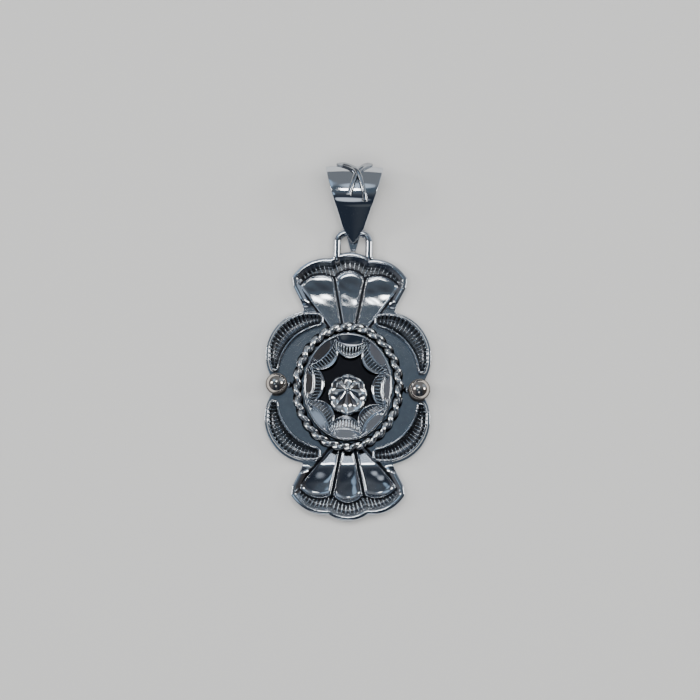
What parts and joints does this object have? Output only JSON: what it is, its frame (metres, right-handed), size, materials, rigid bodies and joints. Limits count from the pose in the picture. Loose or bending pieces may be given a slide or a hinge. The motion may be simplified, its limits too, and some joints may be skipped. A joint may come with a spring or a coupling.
{
  "type": "pendant",
  "caption": "Stamped and soldered silver pendant with fan-shaped ends, ribbed crescents, twisted wire ring, edge balls and a folded teardrop bail swinging on a wire loop.",
  "frame": {"origin": "on the flat back, under the middle of the oval medallion, with the pendant lying face up", "axes": "+Z out of the face, +Y along the length towards the bail, +X to the right seen from the front"},
  "size_m": [0.0236, 0.0513, 0.0072],
  "materials": {
    "oxidised_silver": "oxidised and hand polished",
    "polished_silver": "polished"
  },
  "bodies": {
    "pendant_body": {"pendant_body": "oxidised_silver"},
    "bail": {"bail": "polished_silver"}
  },
  "joints": [
    {"name": "bail_swing", "type": "hinge", "parent": "pendant_body", "child": "bail", "pos_m": [0.0004, 0.0222, 0.00125], "axis": [1, 0, 0], "range_deg": [-125, 103]}
  ]
}
